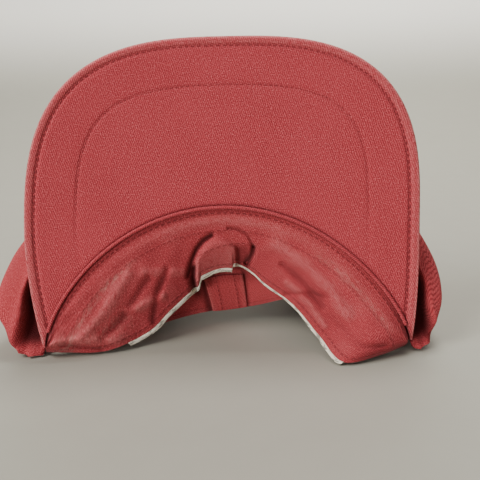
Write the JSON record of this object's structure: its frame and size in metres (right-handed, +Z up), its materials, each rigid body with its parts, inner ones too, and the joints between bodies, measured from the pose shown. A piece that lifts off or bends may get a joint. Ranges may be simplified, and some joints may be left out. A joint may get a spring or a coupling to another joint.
{
  "type": "bump cap",
  "caption": "Soft panelled cotton twill work cap standing on its rim with the curved peak turned up, so the under side of the peak and the turned-out front sweatband show.",
  "frame": {"origin": "centre of the bounding box's base, on the surface the cap stands on", "axes": "+X across the cap to the right of someone facing the turned-up peak, +Y from the peak back through the crown, +Z up"},
  "size_m": [0.2164, 0.1338, 0.1483],
  "materials": {
    "crown_twill": "washed burgundy cotton twill, matt, worn pale along its folds",
    "peak_twill": "washed burgundy cotton twill stretched over the peak, with two rows of stitching",
    "band_twill": "burgundy cotton twill, sweat-stained and greyed",
    "tape_twill": "folded seam tape in matching twill, matt",
    "thread": "satin-stitched burgundy thread",
    "interlining": "off-white non-woven interlining, frayed and dirty at its edge",
    "peak_plastic": "plain moulded sheet, hidden between the covers",
    "button_steel": "plain pressed steel, slightly dull",
    "hook_and_loop": "dark burgundy hook-and-loop tape"
  },
  "bodies": {
    "crown": {"front_left_panel": "crown_twill", "front_right_panel": "crown_twill", "side_left_panel": "crown_twill", "side_right_panel": "crown_twill", "back_left_panel": "crown_twill", "back_right_panel": "crown_twill", "front_tape": "tape_twill", "front_left_tape": "tape_twill", "front_right_tape": "tape_twill", "back_left_tape": "tape_twill", "back_right_tape": "tape_twill", "back_tape": "tape_twill", "eyelet_side_left": "thread", "eyelet_side_right": "thread", "eyelet_back_left": "thread", "eyelet_back_right": "thread", "top_button": "crown_twill", "button_back": "button_steel", "sweatband_left": "band_twill", "sweatband_right": "band_twill", "arch_binding": "band_twill", "strap_left": "band_twill", "loop_pad": "hook_and_loop"},
    "peak": {"peak_board": "peak_plastic", "peak_under_cover": "peak_twill", "peak_top_cover": "peak_twill", "peak_seam_roll": "peak_twill", "sweatband_front": "band_twill", "sweatband_edge": "interlining", "front_facing": "crown_twill", "facing_tape": "tape_twill"},
    "tab": {"strap_tab": "band_twill", "hook_pad": "hook_and_loop"}
  },
  "joints": [
    {"name": "peak_swing", "type": "hinge", "parent": "crown", "child": "peak", "pos_m": [0.00206, -0.05519, 0.007], "axis": [1, 0, 0], "range_deg": [0, 100]},
    {"name": "strap_peel", "type": "hinge", "parent": "crown", "child": "tab", "pos_m": [0.05235, 0.05367, 0.01171], "axis": [-0.0526, -0.2639, -0.9631], "range_deg": [0, 90]}
  ]
}
